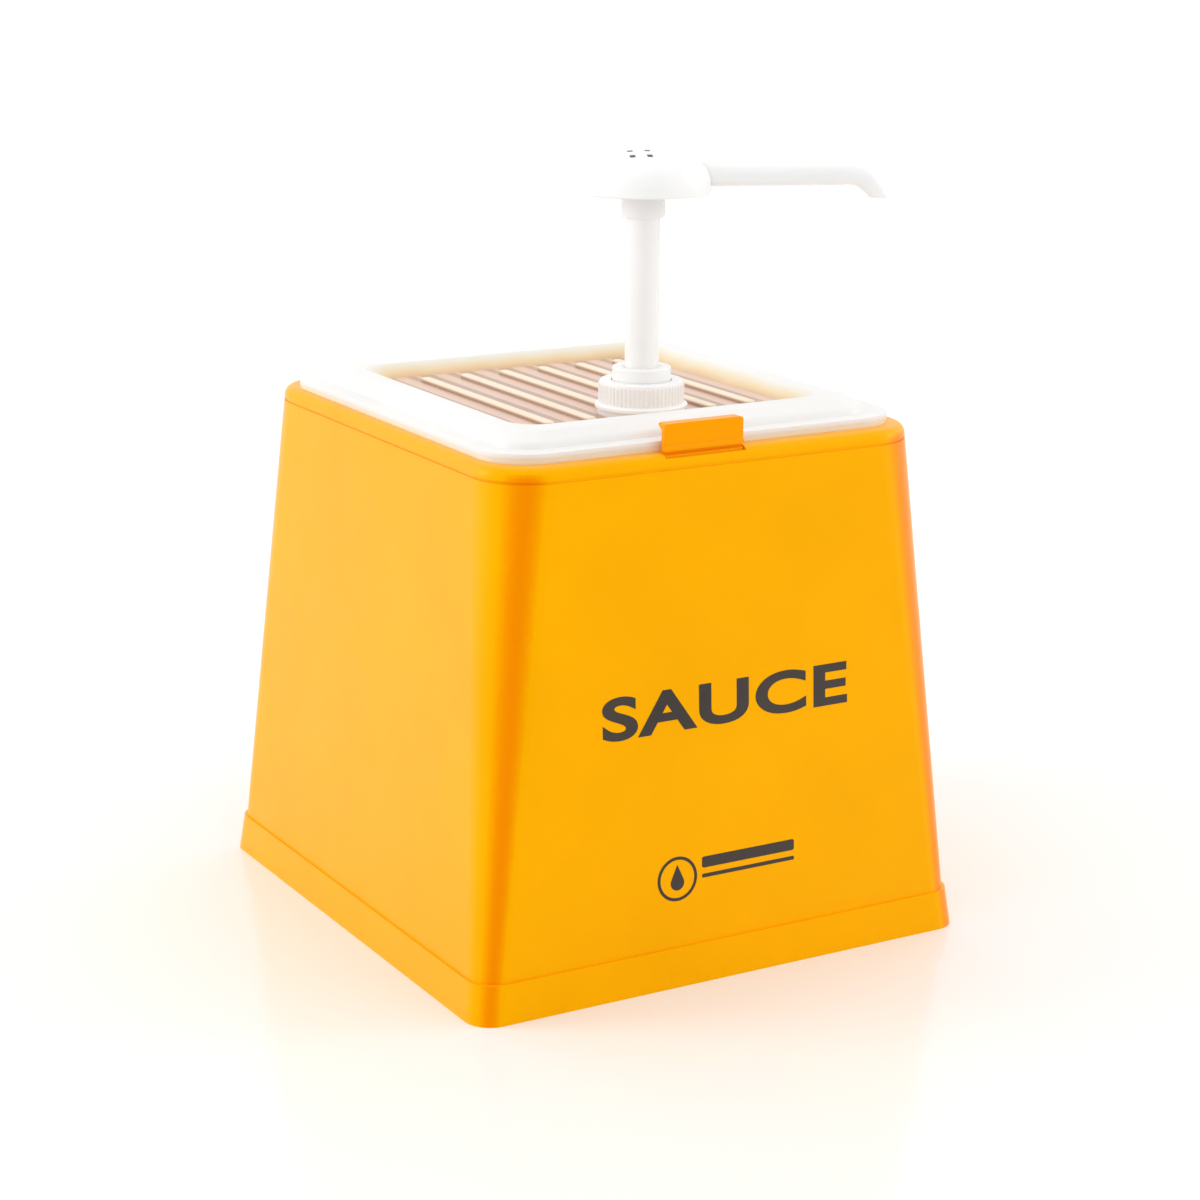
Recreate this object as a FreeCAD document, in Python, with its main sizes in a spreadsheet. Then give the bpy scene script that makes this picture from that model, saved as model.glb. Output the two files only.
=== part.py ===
"""Condiment pump dispenser: a tapered counter stand, a hanging food container, its lid and a plunger pump.

Millimetres, +Z up. The origin is the centre of the stand's footprint, on the surface it stands on.
-Y is the front face, where the latch is. Every size below is a cell of the sheet named Sizes.
"""
import FreeCAD, Part
import math
import os
import re

import Sketcher

SIZES = {
    # stand
    "base_wide": 200.8,
    "base_deep": 212.4,
    "base_corner": 9.8,
    "skirt_high": 14.0,
    "skirt_draft": 1.7,
    "skirt_step": 0.84,
    "top_wide": 169.5,
    "top_deep": 190.0,
    "top_corner": 20.5,
    "rim_high": 187.3,
    "rim_round": 3.5,
    "rim_inside_round": 3.0,
    "rim_plate": 3.0,
    "crease_low": 182.0,
    "crease_high": 1.0,
    "crease_inset": 0.05,
    "stand_wall": 2.5,
    "opening_wide": 149.0,
    "opening_deep": 163.0,
    "opening_corner": 17.0,
    "opening_lip": 9.0,
    "opening_lip_wall": 2.2,
    # latch on the front rim
    "latch_wide": 31.4,
    "latch_shift": -6.6,
    "latch_out": 92.7,
    "latch_wall": 1.8,
    "latch_reach": 88.4,
    "latch_low": 188.1,
    "latch_top": 197.4,
    "latch_web": 1.0,
    "latch_bead": 0.7,
    "latch_bead_high": 1.1,
    "latch_nose": 0.5,
    "latch_slope": 2.2,
    "latch_round": 1.2,
    "pivot_out": 91.8,
    "pivot_high": 185.9,
    "pivot_radius": 1.1,
    "pivot_gap": 0.1,
    "latch_gap": 0.3,
    "groove_inner": 90.75,
    "groove_outer": 95.0,
    # container
    "flange_wide": 162.0,
    "flange_deep": 176.0,
    "flange_corner": 18.0,
    "flange_thick": 1.8,
    "mouth_wide": 142.0,
    "mouth_deep": 156.0,
    "mouth_corner": 16.0,
    "tub_wall": 2.0,
    "tub_floor": 2.3,
    "tub_depth": 150.0,
    "tub_draft": 2.5,
    "tub_foot": 8.0,
    # lid
    "lid_thick": 1.7,
    "lid_skin": 1.7,
    "border_foot_wide": 148.0,
    "border_foot_deep": 162.0,
    "border_side_high": 2.2,
    "border_side_lean": 1.0,
    "border_rise": 4.7,
    "border_top_wide": 139.0,
    "border_top_deep": 146.0,
    "border_corner": 13.0,
    "border_crown": 5.0,
    "border_edge": 2.0,
    "recess_wide": 123.5,
    "recess_deep": 130.0,
    "recess_corner": 11.0,
    "recess_foot_wide": 110.0,
    "recess_foot_deep": 118.5,
    "recess_foot_corner": 7.5,
    "recess_lip": 0.8,
    "basin_wall": 1.4,
    "basin_foot_wall": 0.5,
    "basin_below": 1.1,
    "rib_wide": 4.2,
    "rib_high": 1.5,
    "rib_round": 0.9,
    "rib_pitch": 16.5,
    "rib_count": 6,
    "rib_end": 47.0,
    "plug_wide": 140.6,
    "plug_deep": 154.6,
    "plug_corner": 15.3,
    "plug_wall": 1.6,
    "plug_low": 6.0,
    "pad_radius": 15.5,
    "pad_high": 1.8,
    "neck_radius": 13.0,
    "neck_bore": 10.9,
    "neck_top": 198.6,
    # pump body, on its own vertical axis
    "pump_front": 40.0,
    "gasket_thick": 1.0,
    "clamp_radius": 13.1,
    "clamp_thick": 1.4,
    "tube_radius": 10.5,
    "tube_bore": 9.0,
    "tube_floor": 96.0,
    "tube_base": 93.0,
    "inlet_radius": 2.6,
    "nipple_radius": 6.4,
    "nipple_low": 80.0,
    "dip_radius": 5.0,
    "dip_bore": 3.8,
    "dip_low": 45.0,
    "dip_gap": 0.05,
    "guide_radius": 10.4,
    "guide_top": 207.1,
    "guide_spigot": 8.95,
    "guide_low": 193.0,
    "wiper_radius": 7.9,
    "wiper_thick": 1.8,
    "wiper_seat": 2.0,
    "slide_gap": 0.06,
    # closure cap
    "cap_radius": 14.75,
    "cap_rib": 0.5,
    "cap_rib_wide": 0.8,
    "cap_rib_count": 60,
    "cap_low": 192.8,
    "cap_flange": 16.4,
    "cap_flange_high": 1.8,
    "cap_top": 202.4,
    "cap_bore": 13.6,
    "cap_hole": 10.8,
    "cap_edge": 0.6,
    # valves and spring
    "cage_radius": 8.93,
    "cage_bore": 4.2,
    "cage_high": 8.4,
    "cage_web": 1.6,
    "cage_hole": 2.0,
    "cage_port": 0.96,
    "cage_port_out": 3.15,
    "cage_port_count": 6,
    "inlet_ball": 3.5,
    "inlet_ball_high": 98.42,
    "spring_mean": 6.7,
    "spring_wire": 0.6,
    "spring_turns": 13.5,
    "spring_low": 106.0,
    "spring_top": 177.0,
    "outlet_ball": 3.0,
    "outlet_ball_high": 200.1,
    "stop_radius": 3.55,
    "stop_bore": 2.6,
    "stop_low": 204.7,
    "stop_high": 2.5,
    "stop_slot": 1.4,
    "stop_slot_high": 1.5,
    "stop_slot_count": 3,
    # piston and stem
    "core_bore": 2.2,
    "core_radius": 5.0,
    "core_shoulder": 7.0,
    "core_foot": 8.0,
    "core_spigot": 4.55,
    "core_spigot_top": 198.0,
    "piston_radius": 8.96,
    "piston_waist": 8.3,
    "piston_lip": 2.4,
    "piston_low": 178.5,
    "piston_top": 188.5,
    "stem_low": 190.0,
    "stem_top": 269.8,
    "stem_radius": 6.0,
    "stem_bore": 3.6,
    "stem_socket": 4.6,
    "stem_socket_top": 198.4,
    # head
    "collar_low": 259.6,
    "collar_radius": 7.6,
    "hub_top": 279.4,
    "hub_bore_top": 277.4,
    "dome_low": 268.3,
    "dome_top": 282.5,
    "dome_radius": 23.6,
    "dome_edge_high": 278.2,
    "dome_crown": 67.0,
    "dome_round": 9.5,
    "dome_wall": 1.8,
    "dome_skirt_round": 0.6,
    "dome_rib_count": 8,
    "dome_rib_wide": 1.4,
    "dome_rib_low": 271.5,
    "spout_high": 274.2,
    "spout_heading": -25.0,
    "spout_start": 3.9,
    "spout_root": 4.2,
    "spout_bend_start": 72.4,
    "spout_bend_radius": 10.0,
    "spout_bend_angle": 48.0,
    "spout_mid": 3.75,
    "spout_tip": 3.0,
    "spout_tail": 8.2,
    "spout_bore": 2.6,
    "spout_tip_bore": 2.1,
    "spout_cut": 266.1,
    "spout_fit": 0.05,
}

DOC = FreeCAD.newDocument("condiment_dispenser")
SHEET = DOC.addObject("Spreadsheet::Sheet", "Sizes")
for row, (alias, size) in enumerate(SIZES.items(), start=1):
    SHEET.set(f"A{row}", alias)
    SHEET.set(f"B{row}", str(size))
    SHEET.setAlias(f"B{row}", alias)
DOC.recompute()

PARTS = []


def bind(text):
    """The expression with each size's name pointed at the sheet."""
    return re.sub(r"\b(?!deg\b)[a-z]\w*\b(?!\()", r"Sizes.\g<0>", str(text))


def size(text):
    """The present value of an expression of sizes."""
    return float(SHEET.evalExpression(bind(text)))


def new_body(label, upright_axis="centre"):
    """An empty body. upright_axis is "pump" for a piece turned about the pump's vertical axis."""
    body = DOC.addObject("PartDesign::Body", label)
    body.Label = label
    if upright_axis == "pump":
        body.setExpression("Placement.Base.y", bind("-pump_front"))
    PARTS.append(body)
    return body


def turn_to_spout(body):
    """Turns a body of the head so that its own X axis runs along the spout."""
    body.Placement.Rotation = FreeCAD.Rotation(FreeCAD.Vector(0, 0, 1), size("spout_heading"))
    body.setExpression("Placement.Rotation.Angle", bind("spout_heading"))
    body.setExpression("Placement.Base.y", bind("-pump_front"))


def new_sketch(body, name, role="XY_Plane", offset="0"):
    """A sketch on one of the body's own origin planes, moved along the plane's normal by offset."""
    sketch = body.newObject("Sketcher::SketchObject", name)
    plane = next(f for f in body.Origin.OriginFeatures if f.Role == role)
    sketch.AttachmentSupport = [(plane, "")]
    sketch.MapMode = "FlatFace"
    sketch.setExpression("AttachmentOffset.Base.z", bind(offset))
    return sketch


def bind_size(sketch, index, name, text):
    sketch.renameConstraint(index, name)
    sketch.setExpression(f"Constraints.{name}", bind(text))


def pin_point(sketch, geometry, corner, across, up, name):
    """Fixes one point of a sketch at (across, up), each an expression, from the sketch's origin."""
    for kind, text, axis in (("DistanceX", across, -2), ("DistanceY", up, -1)):
        here = size(text)
        if abs(here) < 1e-9:
            sketch.addConstraint(Sketcher.Constraint("PointOnObject", geometry, corner, axis))
        elif here > 0:
            index = sketch.addConstraint(Sketcher.Constraint(kind, -1, 1, geometry, corner, here))
            bind_size(sketch, index, f"{name}_{kind[-1].lower()}", text)
        else:
            index = sketch.addConstraint(Sketcher.Constraint(kind, geometry, corner, -1, 1, -here))
            bind_size(sketch, index, f"{name}_{kind[-1].lower()}", f"-({text})")


def arc_between(start, end, radius):
    """The short arc from start to end. A positive radius bulges to the left of the way from start to end."""
    chord = end - start
    half = chord.Length / 2
    left = FreeCAD.Vector(-chord.y, chord.x, 0).normalize()
    rise = abs(radius) - (radius * radius - half * half) ** 0.5
    middle = (start + end) / 2 + left * (rise if radius > 0 else -rise)
    return Part.Arc(start, middle, end)


def outline(sketch, points):
    """A closed outline through points: (across, up), or (across, up, radius of the arc to the next)."""
    spots = [FreeCAD.Vector(size(p[0]), size(p[1]), 0) for p in points]
    ends = []
    for i, point in enumerate(points):
        start = spots[i]
        end = spots[(i + 1) % len(points)]
        if len(point) == 2:
            sketch.addGeometry(Part.LineSegment(start, end), False)
            ends.append((1, 2))
            continue
        sketch.addGeometry(arc_between(start, end, size(point[2])), False)
        swapped = (sketch.getPoint(i, 1) - start).Length > 1e-6
        ends.append((2, 1) if swapped else (1, 2))
        index = sketch.addConstraint(Sketcher.Constraint("Radius", i, abs(size(point[2]))))
        sign = "" if size(point[2]) > 0 else "-"
        bind_size(sketch, index, f"bow{i}", f"{sign}({point[2]})")
    for i in range(len(points)):
        j = (i + 1) % len(points)
        sketch.addConstraint(Sketcher.Constraint("Coincident", i, ends[i][1], j, ends[j][0]))
    for i, point in enumerate(points):
        pin_point(sketch, i, ends[i][0], point[0], point[1], f"p{i}")


def circle(sketch, radius, across="0", up="0"):
    middle = FreeCAD.Vector(size(across), size(up), 0)
    ring = sketch.addGeometry(Part.Circle(middle, FreeCAD.Vector(0, 0, 1), size(radius)), False)
    pin_point(sketch, ring, 3, across, up, f"centre{ring}")
    index = sketch.addConstraint(Sketcher.Constraint("Radius", ring, size(radius)))
    bind_size(sketch, index, f"round{ring}", radius)


def rounded_rectangle(sketch, wide, deep, corner):
    """A rectangle about the sketch's origin, with a quarter-circle at each corner."""
    x = size(wide) / 2
    y = size(deep) / 2
    r = size(corner)
    first = sketch.GeometryCount
    middles = [(x - r, y - r), (r - x, y - r), (r - x, r - y), (x - r, r - y)]
    for quarter, (across, up) in enumerate(middles):
        ring = Part.Circle(FreeCAD.Vector(across, up, 0), FreeCAD.Vector(0, 0, 1), r)
        start = quarter * math.pi / 2
        sketch.addGeometry(Part.ArcOfCircle(ring, start, start + math.pi / 2), False)
    for quarter in range(4):
        here = sketch.getPoint(first + quarter, 2)
        there = sketch.getPoint(first + (quarter + 1) % 4, 1)
        sketch.addGeometry(Part.LineSegment(here, there), False)
    for quarter in range(4):
        line = first + 4 + quarter
        sketch.addConstraint(Sketcher.Constraint("Tangent", first + quarter, 2, line, 1))
        sketch.addConstraint(Sketcher.Constraint("Tangent", line, 2, first + (quarter + 1) % 4, 1))
        sketch.addConstraint(Sketcher.Constraint("Vertical" if quarter % 2 else "Horizontal", line))
        if quarter:
            sketch.addConstraint(Sketcher.Constraint("Equal", first, first + quarter))
    sketch.addConstraint(Sketcher.Constraint("Symmetric", first, 3, first + 2, 3, -1, 1))
    sizes = (
        ("corner", ("Radius", first, r), corner),
        ("wide", ("DistanceX", first + 1, 3, first, 3, 2 * (x - r)), f"{wide} - 2 * ({corner})"),
        ("deep", ("DistanceY", first + 3, 3, first, 3, 2 * (y - r)), f"{deep} - 2 * ({corner})"),
    )
    for name, wanted, text in sizes:
        index = sketch.addConstraint(Sketcher.Constraint(*wanted))
        bind_size(sketch, index, f"{name}{first}", text)


def revolve(body, name, points, cut=False, plane="XZ_Plane"):
    """Turns a closed (radius, height) outline about the body's vertical axis. Its seam lies in plane."""
    sketch = new_sketch(body, name + "_outline", plane)
    outline(sketch, points)
    DOC.recompute()
    turned = body.newObject("PartDesign::Groove" if cut else "PartDesign::Revolution", name)
    turned.Profile = sketch
    turned.ReferenceAxis = (sketch, ["V_Axis"])
    turned.Angle = 360
    DOC.recompute()
    return turned


def extrude(body, name, sketch, length, cut=False, reverse=False, middle=False, draft=None):
    """Pads a sketch along its plane's normal, or cuts it away. draft is the sides' lean in degrees."""
    DOC.recompute()
    before = body.Tip.Shape.copy() if cut else None
    made = body.newObject("PartDesign::Pocket" if cut else "PartDesign::Pad", name)
    made.Profile = sketch
    made.Length = size(length)
    made.setExpression("Length", bind(length))
    made.Reversed = reverse
    made.Midplane = middle
    if draft:
        made.TaperAngle = size(draft)
        made.setExpression("TaperAngle", bind(draft))
    DOC.recompute()
    if cut:
        check_cut(body, made, before)
    return made


def check_cut(body, made, before):
    """Stops if a cut met none of the material that was there before it."""
    tool = made.AddSubShape.copy()
    tool.Placement = made.Placement.multiply(tool.Placement)
    if before.common(tool).Volume < 1e-3:
        raise RuntimeError(f"{body.Label}: {made.Label} cuts nothing")


def loft(body, name, levels, cut=False):
    """A straight-sided loft through rounded rectangles given as (wide, deep, corner, height)."""
    sections = []
    for i, (wide, deep, corner, height) in enumerate(levels):
        sketch = new_sketch(body, f"{name}_{i}", "XY_Plane", height)
        rounded_rectangle(sketch, wide, deep, corner)
        sections.append(sketch)
    DOC.recompute()
    before = body.Tip.Shape.copy() if cut else None
    made = body.newObject("PartDesign::SubtractiveLoft" if cut else "PartDesign::AdditiveLoft", name)
    made.Profile = sections[0]
    made.Sections = sections[1:]
    made.Ruled = True
    DOC.recompute()
    if cut:
        check_cut(body, made, before)
    return made


def soften(body, name, radius, wanted):
    """Rounds every edge of the body that wanted() accepts."""
    base = body.Tip
    names = [f"Edge{i}" for i, edge in enumerate(base.Shape.Edges, start=1) if wanted(edge)]
    if not names:
        raise RuntimeError(f"{body.Label}: {name} finds no edge")
    made = body.newObject("PartDesign::Fillet", name)
    made.Base = (base, names)
    made.Radius = size(radius)
    made.setExpression("Radius", bind(radius))
    DOC.recompute()
    return made


def repeat(body, name, feature, kind, axis, count, **spacing):
    """Repeats one feature round or along an axis, and makes the result the body's tip."""
    made = body.newObject("PartDesign::" + kind, name)
    made.Originals = [feature]
    setattr(made, "Axis" if kind == "PolarPattern" else "Direction", axis)
    for prop, text in spacing.items():
        setattr(made, prop, size(text))
        made.setExpression(prop, bind(text))
    made.Occurrences = int(size(count))
    made.setExpression("Occurrences", bind(count))
    body.Tip = made
    DOC.recompute()
    return made


def at_height(height, inside=None):
    """Accepts edges that lie level at this height, and inside a square of that width if one is given."""
    level = size(height)
    reach = size(inside) / 2 if inside else math.inf

    def accept(edge):
        spots = points_on(edge)
        return all(abs(p.z - level) < 0.02 and max(abs(p.x), abs(p.y)) < reach for p in spots)

    return accept


def points_on(edge):
    """The ends and the middle of an edge."""
    first, last = edge.ParameterRange
    return [edge.valueAt(spot) for spot in (first, (first + last) / 2, last)]


def ring_at(radius, height):
    """Accepts edges of a ring of this radius at this height, whole or in pieces."""
    level = size(height)
    wanted = size(radius)

    def accept(edge):
        spots = points_on(edge)
        level_edge = all(abs(point.z - level) < 0.02 for point in spots)
        return level_edge and all(abs((point.x**2 + point.y**2) ** 0.5 - wanted) < 0.02 for point in spots)

    return accept


# stand -----------------------------------------------------------------------------------------


def stand_housing():
    """Tapered shell, open below, with a foot skirt, a rounded rim and the container's opening."""
    body = new_body("stand_housing")
    foot_wide = "base_wide - 2 * (skirt_draft + skirt_step)"
    foot_deep = "base_deep - 2 * (skirt_draft + skirt_step)"
    skirt_top = ("base_wide - 2 * skirt_draft", "base_deep - 2 * skirt_draft", "base_corner", "skirt_high")
    loft(body, "skirt", [("base_wide", "base_deep", "base_corner", "0"), skirt_top])
    wall_foot = (foot_wide, foot_deep, "base_corner", "skirt_high")
    loft(body, "walls", [wall_foot, ("top_wide", "top_deep", "top_corner", "rim_high")])
    soften(body, "rim_edge", "rim_round", at_height("rim_high"))
    lean = "skirt_high / (rim_high - skirt_high)"
    inner_foot = (
        f"{foot_wide} + ({foot_wide} - top_wide) * {lean} - 2 * stand_wall",
        f"{foot_deep} + ({foot_deep} - top_deep) * {lean} - 2 * stand_wall",
        "base_corner - stand_wall",
        "0",
    )
    inner_top = (
        "top_wide - 2 * stand_wall",
        "top_deep - 2 * stand_wall",
        "top_corner - stand_wall",
        "rim_high - rim_plate",
    )
    loft(body, "inside", [inner_foot, inner_top], cut=True)
    soften(body, "inside_edge", "rim_inside_round", at_height("rim_high - rim_plate"))
    lip = new_sketch(body, "lip_outline", "XY_Plane", "rim_high - rim_plate / 2")
    lip_wide = "opening_wide + 2 * opening_lip_wall"
    lip_deep = "opening_deep + 2 * opening_lip_wall"
    rounded_rectangle(lip, lip_wide, lip_deep, "opening_corner + opening_lip_wall")
    extrude(body, "opening_lip", lip, "opening_lip", reverse=True)
    opening = new_sketch(body, "opening_outline", "XY_Plane", "rim_high")
    rounded_rectangle(opening, "opening_wide", "opening_deep", "opening_corner")
    extrude(body, "opening", opening, "opening_lip + rim_plate", cut=True)
    crease = new_sketch(body, "crease_outline", "XY_Plane", "crease_low")
    rounded_rectangle(crease, "base_wide", "base_deep", "top_corner")
    crease_wide = "top_wide - 2 * crease_inset"
    crease_deep = "top_deep - 2 * crease_inset"
    rounded_rectangle(crease, crease_wide, crease_deep, "top_corner - crease_inset")
    extrude(body, "crease", crease, "crease_high", cut=True, reverse=True)
    groove = new_sketch(body, "latch_groove_outline", "YZ_Plane", "latch_shift")
    circle(groove, "pivot_radius + pivot_gap", "-pivot_out", "pivot_high")
    extrude(body, "latch_groove", groove, "latch_wide + 2 * latch_gap", cut=True, middle=True)
    slot = new_sketch(body, "latch_slot_outline", "YZ_Plane", "latch_shift")
    outline(
        slot,
        [
            ("-groove_outer", "pivot_high"),
            ("-groove_inner", "pivot_high"),
            ("-groove_inner", "rim_high + 1"),
            ("-groove_outer", "rim_high + 1"),
        ],
    )
    extrude(body, "latch_slot", slot, "latch_wide + 2 * latch_gap", cut=True, middle=True)


def rim_latch():
    """Snap tab on the front rim: a round root in the rim's groove, a thin web and a nosed face."""
    body = new_body("rim_latch")
    tab = new_sketch(body, "tab_outline", "YZ_Plane", "latch_shift")
    outline(
        tab,
        [
            ("latch_wall - latch_web - latch_out", "pivot_high"),
            ("latch_wall - latch_out", "pivot_high"),
            ("latch_wall - latch_out", "latch_top - latch_slope"),
            ("-latch_reach", "latch_top - latch_nose"),
            ("-latch_reach", "latch_top"),
            ("-latch_out", "latch_top"),
            ("-latch_out", "latch_low + latch_bead_high + latch_bead"),
            ("-latch_out - latch_bead", "latch_low + latch_bead_high"),
            ("-latch_out - latch_bead", "latch_low"),
            ("latch_wall - latch_web - latch_out", "latch_low"),
        ],
    )
    extrude(body, "tab", tab, "latch_wide", middle=True)
    soften(body, "tab_corners", "latch_round", is_latch_corner)
    root = new_sketch(body, "root_outline", "YZ_Plane", "latch_shift")
    circle(root, "pivot_radius", "-pivot_out", "pivot_high")
    extrude(body, "root", root, "latch_wide", middle=True)


def is_latch_corner(edge):
    """The two short edges across the top ends of the tab."""
    start, _, end = points_on(edge)
    across = abs(start.y - end.y) > 2 and abs(start.x - end.x) < 0.01
    return across and min(start.z, end.z) > size("latch_top") - 0.01


# container and lid -----------------------------------------------------------------------------


def food_container():
    """Sixth-size food pan, 150 mm deep, that hangs by its flange."""
    mouth = "rim_high + flange_thick"
    outside = DOC.addObject("PartDesign::Body", "container_outside")
    tub = new_sketch(outside, "tub_outline", "XY_Plane", mouth)
    tub_wide = "mouth_wide + 2 * tub_wall"
    tub_deep = "mouth_deep + 2 * tub_wall"
    rounded_rectangle(tub, tub_wide, tub_deep, "mouth_corner + tub_wall")
    extrude(outside, "tub", tub, "tub_depth", reverse=True, draft="-tub_draft")
    soften(outside, "tub_foot_edge", "tub_foot", at_height(f"{mouth} - tub_depth"))
    flange = new_sketch(outside, "flange_outline", "XY_Plane", "rim_high")
    rounded_rectangle(flange, "flange_wide", "flange_deep", "flange_corner")
    extrude(outside, "flange", flange, "flange_thick")

    inside = DOC.addObject("PartDesign::Body", "container_inside")
    hollow = new_sketch(inside, "hollow_outline", "XY_Plane", mouth)
    rounded_rectangle(hollow, "mouth_wide", "mouth_deep", "mouth_corner")
    extrude(inside, "hollow", hollow, "tub_depth - tub_floor", reverse=True, draft="-tub_draft")
    soften(inside, "floor_edge", "tub_foot - tub_wall", at_height(f"{mouth} - tub_depth + tub_floor"))

    container = DOC.addObject("Part::Cut", "food_container")
    container.Label = "food_container"
    container.Base = outside
    container.Tool = inside
    PARTS.append(container)
    DOC.recompute()


def container_lid():
    """Lid with a crowned border, a ribbed recess, a plug that enters the container and the pump's neck."""
    body = new_body("container_lid")
    under = "rim_high + flange_thick"
    face = f"{under} + lid_thick"
    shoulder = f"{face} + border_side_high"
    top = f"{face} + border_rise"

    flange = new_sketch(body, "flange_outline", "XY_Plane", under)
    rounded_rectangle(flange, "flange_wide", "flange_deep", "flange_corner")
    extrude(body, "flange", flange, "lid_thick")

    shoulder_wide = "border_foot_wide - 2 * border_side_lean"
    shoulder_deep = "border_foot_deep - 2 * border_side_lean"
    border = [
        ("border_foot_wide", "border_foot_deep", "border_corner", face),
        (shoulder_wide, shoulder_deep, "border_corner - border_side_lean", shoulder),
        ("border_top_wide", "border_top_deep", "border_corner - 2 * border_side_lean", top),
    ]
    loft(body, "border", border)
    soften(body, "border_crown", "border_crown", at_height(top))
    soften(body, "border_edge", "border_edge", at_height(shoulder))

    hollow = new_sketch(body, "hollow_outline", "XY_Plane", under)
    wide = "border_top_wide - lid_skin"
    deep = "border_top_deep - lid_skin"
    rounded_rectangle(hollow, wide, deep, "border_corner - 2 * border_side_lean - lid_skin / 2")
    extrude(body, "hollow", hollow, "border_rise + lid_thick - lid_skin", cut=True, reverse=True)
    basin_wide = "recess_wide + 2 * basin_wall"
    basin_deep = "recess_deep + 2 * basin_wall"
    basin_foot_wide = "recess_foot_wide + 2 * basin_foot_wall"
    basin_foot_deep = "recess_foot_deep + 2 * basin_foot_wall"
    basin = [
        (basin_foot_wide, basin_foot_deep, "recess_foot_corner + basin_foot_wall", under),
        (basin_wide, basin_deep, "recess_corner + basin_wall", f"{top} - basin_below"),
    ]
    loft(body, "basin", basin)
    recess = [
        ("recess_foot_wide", "recess_foot_deep", "recess_foot_corner", face),
        ("recess_wide", "recess_deep", "recess_corner", top),
    ]
    loft(body, "recess", recess, cut=True)
    soften(body, "recess_lip", "recess_lip", at_height(top, inside="recess_deep + 1"))

    plug = new_sketch(body, "plug_outline", "XY_Plane", f"{face} + lid_skin / 2")
    rounded_rectangle(plug, "plug_wide", "plug_deep", "plug_corner")
    plug_bore_wide = "plug_wide - 2 * plug_wall"
    plug_bore_deep = "plug_deep - 2 * plug_wall"
    rounded_rectangle(plug, plug_bore_wide, plug_bore_deep, "plug_corner - plug_wall")
    plug_long = "plug_low + flange_thick + lid_thick + lid_skin / 2"
    extrude(body, "plug", plug, plug_long, reverse=True)

    rib = new_sketch(body, "rib_outline", "XY_Plane", f"{face} - 0.2")
    across = "-rib_pitch * (rib_count - 1) / 2"
    slot_shape(rib, across, "rib_wide / 2", "-rib_end", "rib_end")
    first_rib = extrude(body, "rib", rib, "rib_high + 0.2")
    x_axis = next(f for f in body.Origin.OriginFeatures if f.Role == "X_Axis")
    span = "rib_pitch * (rib_count - 1)"
    repeat(body, "ribs", first_rib, "LinearPattern", (x_axis, [""]), "rib_count", Length=span)
    soften(body, "rib_edges", "rib_round", at_height(f"{face} + rib_high"))

    pad = new_sketch(body, "pad_outline", "XY_Plane", face)
    circle(pad, "pad_radius", "0", "-pump_front")
    extrude(body, "pad", pad, "pad_high")
    neck = new_sketch(body, "neck_outline", "XY_Plane", face)
    circle(neck, "neck_radius", "0", "-pump_front")
    extrude(body, "neck", neck, f"neck_top - ({face})")
    bore = new_sketch(body, "bore_outline", "XY_Plane", "neck_top")
    circle(bore, "neck_bore", "0", "-pump_front")
    extrude(body, "neck_bore", bore, "neck_top - rim_high + plug_low", cut=True)


def slot_shape(sketch, across, radius, low, high):
    """A straight-sided strip along the sketch's Y axis, with a half-round at each end."""
    x = size(across)
    r = size(radius)
    bottom = size(low)
    top = size(high)
    up = FreeCAD.Vector(0, 0, 1)
    ends = (Part.Circle(FreeCAD.Vector(x, top, 0), up, r), Part.Circle(FreeCAD.Vector(x, bottom, 0), up, r))
    sketch.addGeometry(Part.ArcOfCircle(ends[0], 0, math.pi), False)
    sketch.addGeometry(Part.ArcOfCircle(ends[1], math.pi, 2 * math.pi), False)
    sketch.addGeometry(Part.LineSegment(sketch.getPoint(0, 2), sketch.getPoint(1, 1)), False)
    sketch.addGeometry(Part.LineSegment(sketch.getPoint(1, 2), sketch.getPoint(0, 1)), False)
    for arc, arc_end, line, line_end in ((0, 2, 2, 1), (1, 1, 2, 2), (1, 2, 3, 1), (0, 1, 3, 2)):
        sketch.addConstraint(Sketcher.Constraint("Tangent", arc, arc_end, line, line_end))
    pin_point(sketch, 0, 3, across, high, "far")
    pin_point(sketch, 1, 3, across, low, "near")
    bind_size(sketch, sketch.addConstraint(Sketcher.Constraint("Radius", 0, r)), "half_width", radius)


# pump body -------------------------------------------------------------------------------------


def neck_gasket():
    body = new_body("neck_gasket", "pump")
    revolve(
        body,
        "ring",
        [
            ("neck_bore", "neck_top"),
            ("neck_radius", "neck_top"),
            ("neck_radius", "neck_top + gasket_thick"),
            ("neck_bore", "neck_top + gasket_thick"),
        ],
    )


def pump_cylinder():
    """Plain bore with a clamping flange, an inlet seat at the bottom and a nipple for the dip tube."""
    body = new_body("pump_cylinder", "pump")
    flange = "neck_top + gasket_thick"
    revolve(
        body,
        "barrel",
        [
            ("tube_bore", "tube_floor"),
            ("tube_bore", f"{flange} + clamp_thick"),
            ("clamp_radius", f"{flange} + clamp_thick"),
            ("clamp_radius", flange),
            ("tube_radius", flange),
            ("tube_radius", "tube_base"),
            ("nipple_radius", "tube_base - 3"),
            ("nipple_radius", "nipple_low"),
            ("dip_radius + dip_gap", "nipple_low"),
            ("dip_radius + dip_gap", "tube_base"),
            ("inlet_radius", "tube_base"),
            ("inlet_radius", "tube_floor"),
        ],
    )


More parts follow.
